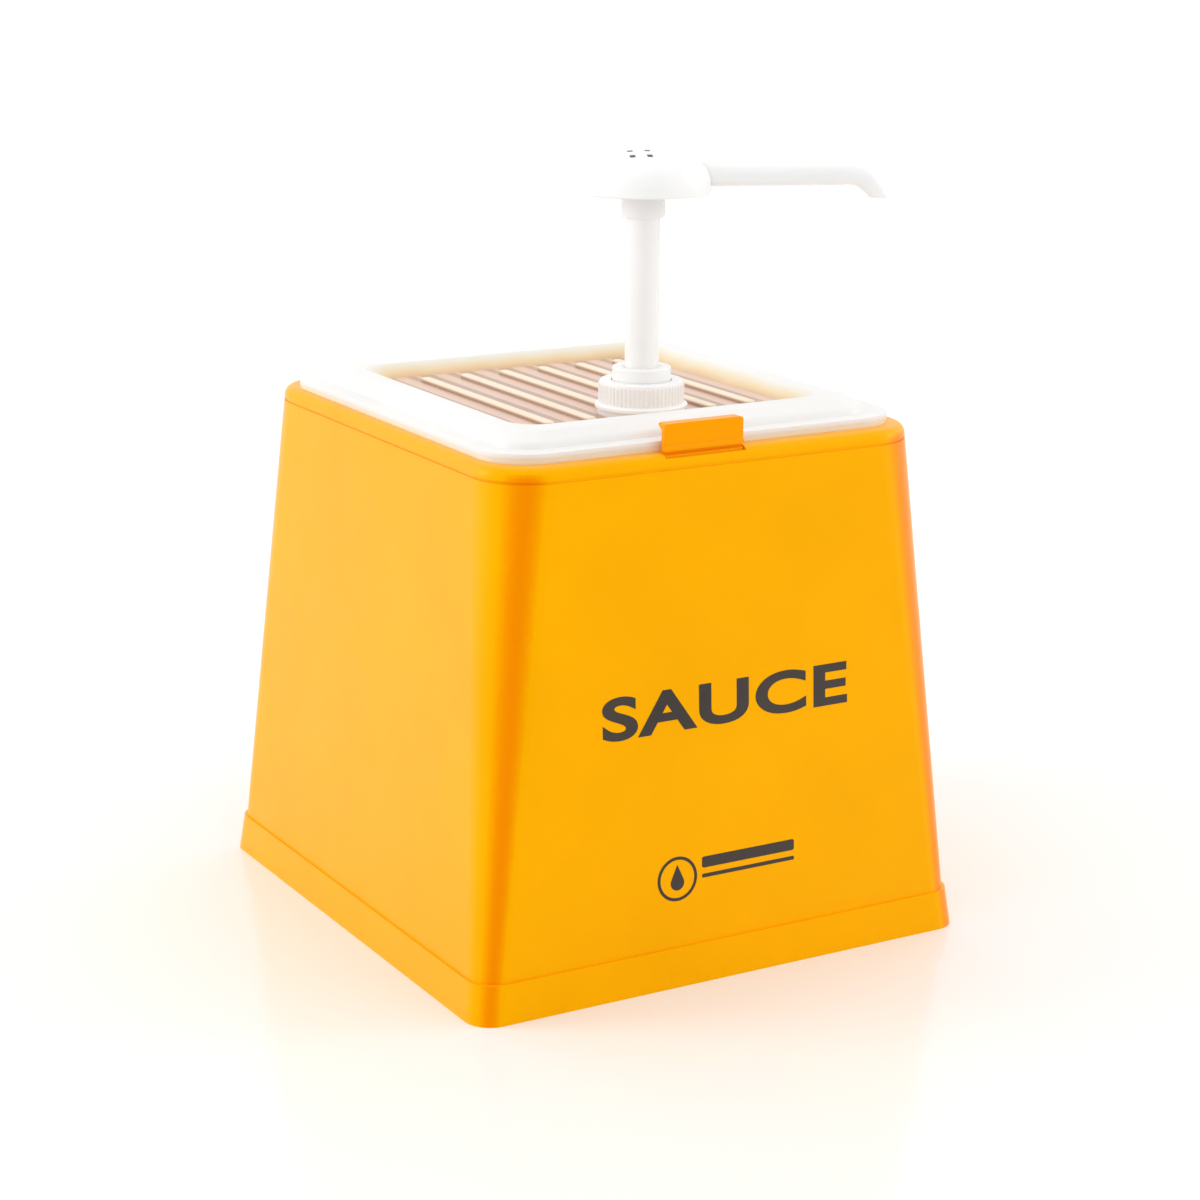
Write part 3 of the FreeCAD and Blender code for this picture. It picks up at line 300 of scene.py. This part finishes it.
# Painted shade: the latch is the stand's plastic, coloured darker and more orange.
LATCH_SHADED_YELLOW = (0.98, 0.34, 0.0)
CONTAINER_CREAM = (0.94, 0.84, 0.66)
LID_WHITE = (0.88, 0.865, 0.845)
PUMP_WHITE = (0.93, 0.93, 0.925)
CAP_WHITE = (0.96, 0.955, 0.945)
WARM_WHITE = (0.96, 0.945, 0.925)
NATURAL_CREAM = (0.88, 0.86, 0.80)
SEAL_GREY = (0.72, 0.72, 0.70)
VALVE_STEEL = (0.72, 0.72, 0.74)
SPRING_STEEL = (0.6, 0.6, 0.62)
INK_BROWN = (0.045, 0.032, 0.024)
PIP_GREY = (0.10, 0.085, 0.08)
RECESS_WALL = (
    (0.0, (0.86, 0.84, 0.79)),
    (0.25, (0.84, 0.79, 0.66)),
    (0.55, (0.84, 0.69, 0.46)),
    (0.85, (0.80, 0.57, 0.32)),
    (1.0, (0.72, 0.50, 0.33)),
)
RECESS_PINK = (0.76, 0.53, 0.45)
# Tan: random streaks on the recess floor, and the painted shade across each rib's +X flank.
TAN_STREAKS_AND_RIB_SHADE = (0.81, 0.57, 0.40)
# Painted shadow beside the ribs.
RIB_PAINTED_SHADOW = (0.45, 0.30, 0.21)
RIB_CREAM = (0.90, 0.75, 0.58)
LID_FACE = 190.8 * MM
LID_TOP = 195.5 * MM
RECESS_WIDE = 123.5 * MM
RECESS_DEEP = 130.0 * MM
RIB_PITCH = 16.5 * MM
PAD_RADIUS = 15.5 * MM


def paint_nodes():
    """One finished material for each CAD node."""
    # The latch's yellow is painted shade: a darker, more orange copy of the stand's yellow.
    latch = yellow_plastic("latch_shaded_yellow", LATCH_SHADED_YELLOW).material
    container = plastic("container_natural", CONTAINER_CREAM, roughness=0.36, glow=0.35).material
    pump = {"grain": 1800, "depth": 0.01 * MM}
    bright = plastic("pump_white", PUMP_WHITE, roughness=0.24, glow=0.15, **pump).material
    cap = plastic("cap_white", CAP_WHITE, roughness=0.32, glow=0.15, **pump).material
    warm = plastic("pump_warm_white", WARM_WHITE, roughness=0.22, glow=0.4, **pump).material
    natural = plastic("pump_natural", NATURAL_CREAM, roughness=0.32, glow=0.4).material
    rubber = plastic("seal_soft", SEAL_GREY, roughness=0.55, grain=2600, depth=0.02 * MM).material
    steel = metal("valve_steel", VALVE_STEEL, roughness=0.12).material
    finishes = {
        "stand_housing": stand_plastic(),
        "rim_latch": latch,
        "food_container": container,
        "container_lid": lid_plastic(),
        "neck_gasket": rubber,
        "closure_cap": cap,
        "pump_cylinder": natural,
        "stem_guide": bright,
        "guide_wiper": rubber,
        "dip_tube": natural,
        "inlet_ball_cage": natural,
        "inlet_ball": steel,
        "return_spring": steel,
        "piston_core": natural,
        "piston_seal": natural,
        "outlet_ball": steel,
        "pump_stem": warm,
        "outlet_ball_stop": natural,
        "head_hub": warm,
        "palm_dome": bright,
        "spout_tube": warm,
    }
    for node, material in finishes.items():
        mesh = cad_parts[node].data
        mesh.materials.clear()
        mesh.materials.append(material)


METAL_DARKER = 0.8
METAL_CELLS = 300
METAL_GLOSS_CELLS = 900
METAL_GLOSS_RANGE = (0.7, 1.5)
SCRATCH_CELLS = 2500
SCRATCH_DEPTH = 0.01 * MM


def metal(name, color, roughness):
    """Polished or drawn steel with fine scratches."""
    shader = Shader(name)
    tone = shader.spread(shader.noise(METAL_CELLS, 4, (1, 1, 6)), 0, 1)
    darker = tuple(channel * METAL_DARKER for channel in color)
    shader.link(shader.blend(tone, darker, color), shader.surface.inputs["Base Color"])
    shader.surface.inputs["Metallic"].default_value = 1.0
    smoother, rougher = (roughness * share for share in METAL_GLOSS_RANGE)
    gloss = shader.spread(shader.noise(METAL_GLOSS_CELLS, 3), smoother, rougher)
    shader.link(gloss, shader.surface.inputs["Roughness"])
    shader.bump(shader.noise(SCRATCH_CELLS, 2, (1, 1, 8)), SCRATCH_DEPTH)
    return shader


# print on the front face -----------------------------------------------------------------------


def mesh_piece(name, mesh, material, body):
    piece = bpy.data.objects.new(name, mesh)
    bpy.context.scene.collection.objects.link(piece)
    mesh.materials.clear()
    mesh.materials.append(material)
    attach(piece, body)
    return piece


def front_face():
    """The plane of the front face: a matrix from (across, up the slope, outwards) to the frame."""
    foot = Vector((0, -FACE_FOOT_OUT, FACE_FOOT_HIGH))
    top = Vector((0, -FACE_TOP_OUT, FACE_TOP_HIGH))
    up = (top - foot).normalized()
    across = Vector((1, 0, 0))
    outward = across.cross(up)
    turned = Matrix((across, up, outward)).transposed().to_4x4()
    return Matrix.Translation(foot) @ turned


FACE_FOOT_OUT = 103.66 * MM
FACE_FOOT_HIGH = 14.0 * MM
FACE_TOP_OUT = 95.0 * MM
FACE_TOP_HIGH = 187.3 * MM
PRINT_THICK = 0.12 * MM
PRINT_SUNK = 0.04 * MM
WORD_WIDE = 100.0 * MM
WORD_HIGH = 15.4 * MM
WORD_MIDDLE = 99.2 * MM
WORD_SHIFT = 0.6 * MM
MARK_LEFT = -28.6 * MM
MARK_HIGH = 16.0 * MM
MARK_MIDDLE = 38.8 * MM
BAR_LEFT = -10.5 * MM
BAR_RIGHT = 27.8 * MM


RING_INSIDE = 0.86
DROP_BELOW = 0.18
DROP_RADIUS = 0.34
DROP_TIP = 0.82
BARS = ((2.2 * MM, 6.2 * MM, 0.8 * MM), (-1.4 * MM, 0.0, 0.4 * MM))


def on_slope(high):
    """The distance up the front face's slope of a point at that height."""
    rise = FACE_TOP_HIGH - FACE_FOOT_HIGH
    run = FACE_FOOT_OUT - FACE_TOP_OUT
    return (high - FACE_FOOT_HIGH) * math.hypot(rise, run) / rise


def print_word(ink):
    """The contents' plain name in bold capitals."""
    text = bpy.data.curves.new("word_text", "FONT")
    text.body = "SAUCE"
    text.size = 1.0
    text.offset = 0.03
    text.space_character = 1.08
    text.extrude = 0.5
    text.resolution_u = 8
    holder = bpy.data.objects.new("word_holder", text)
    bpy.context.scene.collection.objects.link(holder)
    bpy.context.view_layer.update()
    mesh = bpy.data.meshes.new_from_object(holder.evaluated_get(bpy.context.evaluated_depsgraph_get()))
    bpy.data.objects.remove(holder)
    low = Vector(map(min, *(v.co for v in mesh.vertices)))
    high = Vector(map(max, *(v.co for v in mesh.vertices)))
    span = high - low
    fit = Matrix.Diagonal((WORD_WIDE / span.x, WORD_HIGH / span.y, PRINT_THICK / span.z, 1))
    centre = Matrix.Translation(-(low + high) / 2)
    lift = Matrix.Translation((WORD_SHIFT, on_slope(WORD_MIDDLE), PRINT_THICK / 2 - PRINT_SUNK))
    mesh.transform(front_face() @ lift @ fit @ centre)
    bm = bmesh.new()
    bm.from_mesh(mesh)
    bmesh.ops.remove_doubles(bm, verts=bm.verts, dist=0.001 * MM)
    bm.to_mesh(mesh)
    bm.free()
    mesh_piece("print_word", mesh, ink, "stand")


def print_plate(name, outline, ink, hole=None):
    """A thin closed print from an outline of (across, up the slope) points, with one hole if given."""
    bm = bmesh.new()
    paths = [outline, hole] if hole else [outline]
    rings = []
    for level in (-PRINT_SUNK, PRINT_THICK - PRINT_SUNK):
        rings.append([[bm.verts.new((x, y, level)) for x, y in path] for path in paths])
    for low_path, high_path in zip(*rings):
        count = len(low_path)
        for i in range(count):
            j = (i + 1) % count
            bm.faces.new((low_path[i], low_path[j], high_path[j], high_path[i]))
    for ring in rings:
        if hole is None:
            bm.faces.new(ring[0])
            continue
        outer, inner = ring
        count = len(outer)
        for i in range(count):
            j = (i + 1) % count
            bm.faces.new((outer[i], outer[j], inner[j], inner[i]))
    bmesh.ops.recalc_face_normals(bm, faces=bm.faces)
    mesh = bpy.data.meshes.new(name)
    bm.to_mesh(mesh)
    bm.free()
    mesh.transform(front_face())
    mesh_piece(name, mesh, ink, "stand")


def circle_path(x, y, radius, count=64):
    return [
        (x + radius * math.cos(2 * math.pi * i / count), y + radius * math.sin(2 * math.pi * i / count))
        for i in range(count)
    ]


def drop_path(x, y, radius, tip, count=40):
    """A drop: a round bottom whose sides run straight and tangent to a tip above it."""
    lean = math.asin(radius / tip)
    start = math.pi - lean
    end = 2 * math.pi + lean
    turns = [start + (end - start) * i / count for i in range(count + 1)]
    rounded = [(x + radius * math.cos(a), y + radius * math.sin(a)) for a in turns]
    return rounded + [(x, y + tip)]


def bar_path(left, right, low, high, corner, steps=6):
    middles = ((right - corner, high - corner), (left + corner, high - corner))
    middles += ((left + corner, low + corner), (right - corner, low + corner))
    points = []
    for quarter, (x, y) in enumerate(middles):
        for i in range(steps + 1):
            a = math.pi / 2 * (quarter + i / steps)
            points.append((x + corner * math.cos(a), y + corner * math.sin(a)))
    return points


def print_mark(ink):
    """A plain drop in a ring, sized by shares of the ring's radius, with two plain bars beside it."""
    radius = MARK_HIGH / 2
    x = MARK_LEFT + radius
    y = on_slope(MARK_MIDDLE)
    print_plate("print_ring", circle_path(x, y, radius), ink, circle_path(x, y, radius * RING_INSIDE))
    drop = drop_path(x, y - radius * DROP_BELOW, radius * DROP_RADIUS, radius * DROP_TIP)
    print_plate("print_drop", drop, ink)
    for number, (low, high, corner) in enumerate(BARS, start=1):
        path = bar_path(BAR_LEFT, BAR_RIGHT, y + low, y + high, corner)
        print_plate(f"print_bar_{number}", path, ink)


def printing():
    ink = plastic("print_ink", INK_BROWN, roughness=0.5, variation=0.25, grain=2200).material
    print_word(ink)
    print_mark(ink)


# turned and wound pieces -----------------------------------------------------------------------


def sweep(name, line, section):
    """A closed tube along line, a list of (point, outward, upward). section lists (outward, upward)."""
    bm = bmesh.new()
    rings = []
    for point, outward, upward in line:
        rings.append([bm.verts.new(point + outward * u + upward * w) for u, w in section])
    count = len(section)
    for one, two in zip(rings, rings[1:]):
        for i in range(count):
            j = (i + 1) % count
            bm.faces.new((one[i], one[j], two[j], two[i]))
    bm.faces.new(reversed(rings[0]))
    bm.faces.new(rings[-1])
    bmesh.ops.recalc_face_normals(bm, faces=bm.faces)
    mesh = bpy.data.meshes.new(name)
    bm.to_mesh(mesh)
    bm.free()
    for face in mesh.polygons:
        face.use_smooth = len(face.vertices) == 4
    return mesh


def return_spring():
    """Compression spring with closed ends."""
    wire = 0.6 * MM
    mean = 6.7 * MM
    bottom = 106.0 * MM
    top = 177.0 * MM
    turns = 13.5
    steps = 28
    sides = 10
    coil_gap = 1.06
    closed_pitch = 2 * wire * coil_gap
    closed = 1.25
    total = int((turns + 1) * steps)
    open_turns = turns + 1 - 2 * closed
    open_pitch = (top - bottom - 2 * wire - 2 * closed * closed_pitch) / open_turns
    line = []
    height = bottom + wire
    for i in range(total + 1):
        turn = i / steps
        angle = 2 * math.pi * turn
        outward = Vector((math.cos(angle), math.sin(angle), 0))
        line.append((PUMP_AXIS + outward * mean + Vector((0, 0, height)), outward, Vector((0, 0, 1))))
        at_end = turn < closed or turn > turns + 1 - closed
        height += (closed_pitch if at_end else open_pitch) / steps
    corners = [2 * math.pi / sides * i for i in range(sides)]
    section = [(wire * math.cos(a), wire * math.sin(a)) for a in corners]
    mesh = sweep("return_spring_wire", line, section)
    steel = metal("spring_steel", SPRING_STEEL, roughness=0.28).material
    piece = mesh_piece("return_spring_wire", mesh, steel, "pump_body")
    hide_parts("return_spring")
    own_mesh(piece)


def neck_thread():
    """The ridge on the lid's neck that the cap screws onto."""
    radius = 12.9 * MM
    ridge = 0.5 * MM
    root = -0.2 * MM
    half_root = 0.8 * MM
    half_crest = 0.25 * MM
    pitch = 3.0 * MM
    low = 193.6 * MM
    turns = 1.1
    steps = 72
    line = []
    for i in range(int(turns * steps) + 1):
        angle = 2 * math.pi * i / steps
        outward = Vector((math.cos(angle), math.sin(angle), 0))
        point = PUMP_AXIS + outward * radius + Vector((0, 0, low + pitch * i / steps))
        line.append((point, outward, Vector((0, 0, 1))))
    section = [(root, -half_root), (ridge, -half_crest), (ridge, half_crest), (root, half_root)]
    mesh = sweep("neck_thread", line, section)
    mesh_piece("neck_thread", mesh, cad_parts["container_lid"].data.materials[0], "lid")


def crown_pips():
    """Four small dark sunk rectangles on the palm rest's crown, square to the spout."""
    ink = plastic("pip_grey", PIP_GREY, roughness=0.6, variation=0.2, grain=2400).material
    turn = Matrix.Rotation(math.radians(SPOUT_HEADING), 3, "Z")
    corners = [(side, row) for side in (-0.5, 0.5) for row in (-0.5, 0.5)]
    for number, (side, row) in enumerate(corners, start=1):
        middle = Vector(PIPS_MIDDLE) + turn @ Vector((side * PIPS_ALONG, row * PIPS_ACROSS, 0))
        normal = Vector((middle.x, middle.y, CROWN_RADIUS)).normalized()
        crown = CROWN_HIGH - middle.length_squared / (2 * CROWN_RADIUS)
        place = PUMP_AXIS + Vector((middle.x, middle.y, crown)) - normal * (PIP_THICK / 2 - PIP_PROUD)
        lean = Vector((0, 0, 1)).rotation_difference(normal).to_matrix()
        bm = bmesh.new()
        bmesh.ops.create_cube(bm, size=1.0)
        bmesh.ops.scale(bm, vec=(PIP_WIDE, PIP_LONG, PIP_THICK), verts=bm.verts)
        bmesh.ops.bevel(bm, geom=bm.edges[:], offset=PIP_ROUND, segments=2, affect="EDGES")
        for vertex in bm.verts:
            vertex.co = place + lean @ (turn @ vertex.co)
        mesh = bpy.data.meshes.new(f"crown_pip_{number}")
        bm.to_mesh(mesh)
        bm.free()
        mesh_piece(f"crown_pip_{number}", mesh, ink, "head")


CROWN_HIGH = 282.5 * MM
CROWN_RADIUS = 67.0 * MM
SPOUT_HEADING = -25.0
PIPS_MIDDLE = (-4.0 * MM, -4.1 * MM, 0)
PIPS_ALONG = 6.0 * MM
PIPS_ACROSS = 9.6 * MM
PIP_WIDE = 2.1 * MM
PIP_LONG = 3.3 * MM
PIP_THICK = 0.6 * MM
PIP_PROUD = 0.03 * MM
PIP_ROUND = 0.12 * MM


# studio ----------------------------------------------------------------------------------------

CAMERA_PLACE = Vector((-494.7, -867.7, 379.0)) * MM
CAMERA_HEADING = 30.03
CAMERA_PITCH = -14.96
CAMERA_ROLL = 0.40
CAMERA_LENS = 82.93
LAMPS_AIM = Vector((0, 0, 0.12))
LAMPS_AWAY = 1.6
LAMP_WIDE = 0.6
LAMP_HIGH = 0.9
SUN_POWER = 0.2
SUN_SPREAD = 50
FLOOR_HALF = 15.0
FLOOR_DARKER = (0.925, 0.925, 0.93)
FLOOR_LIGHTER = (0.945, 0.945, 0.945)
FLOOR_CELLS = 3
FLOOR_ROUGHNESS = 0.16
FLOOR_SHINE = 0.3


def camera():
    data = bpy.data.cameras.new("camera")
    data.lens = CAMERA_LENS
    data.sensor_width = 36
    shot = bpy.data.objects.new("camera", data)
    bpy.context.scene.collection.objects.link(shot)
    heading = Matrix.Rotation(math.radians(-CAMERA_HEADING), 4, "Z")
    pitch = Matrix.Rotation(math.radians(90 + CAMERA_PITCH), 4, "X")
    roll = Matrix.Rotation(math.radians(CAMERA_ROLL), 4, "Z")
    shot.matrix_world = Matrix.Translation(CAMERA_PLACE) @ heading @ pitch @ roll
    bpy.context.scene.camera = shot


def softbox(name, azimuth, elevation, power):
    """A square lamp aimed at the middle of the object. Azimuth 0 is in front, and grows towards +X."""
    a = math.radians(azimuth)
    e = math.radians(elevation)
    way = Vector((math.sin(a) * math.cos(e), -math.cos(a) * math.cos(e), math.sin(e)))
    data = bpy.data.lights.new(name, "AREA")
    data.shape = "RECTANGLE"
    data.size = LAMP_WIDE
    data.size_y = LAMP_HIGH
    data.energy = power
    lamp = bpy.data.objects.new(name, data)
    bpy.context.scene.collection.objects.link(lamp)
    lamp.location = LAMPS_AIM + way * LAMPS_AWAY
    lamp.rotation_euler = (-way).to_track_quat("-Z", "Y").to_euler()


def studio():
    world = bpy.data.worlds.new("world")
    bpy.context.scene.world = world
    world.use_nodes = True
    background = world.node_tree.nodes["Background"]
    background.inputs["Color"].default_value = (1, 1, 1, 1)
    background.inputs["Strength"].default_value = 1.0
    softbox("right_front", azimuth=66, elevation=18, power=3.5)
    softbox("left_back", azimuth=-118, elevation=18, power=6.5)
    sun = bpy.data.lights.new("overhead", "SUN")
    sun.energy = SUN_POWER
    sun.angle = math.radians(SUN_SPREAD)
    above = bpy.data.objects.new("overhead", sun)
    bpy.context.scene.collection.objects.link(above)
    bpy.context.scene.view_settings.view_transform = "Standard"

    half = FLOOR_HALF
    mesh = bpy.data.meshes.new("floor")
    corners = [(-half, -half, 0), (half, -half, 0), (half, half, 0), (-half, half, 0)]
    mesh.from_pydata(corners, [], [(0, 1, 2, 3)])
    floor = bpy.data.objects.new("floor", mesh)
    bpy.context.scene.collection.objects.link(floor)
    shader = Shader("floor_pale")
    shade = shader.blend(shader.spread(shader.noise(FLOOR_CELLS, 2), 0, 1), FLOOR_DARKER, FLOOR_LIGHTER)
    shader.link(shade, shader.surface.inputs["Base Color"])
    shader.surface.inputs["Roughness"].default_value = FLOOR_ROUGHNESS
    shader.surface.inputs["Specular IOR Level"].default_value = FLOOR_SHINE
    mesh.materials.append(shader.material)


camera()
paint_nodes()
printing()
return_spring()
neck_thread()
crown_pips()
studio()
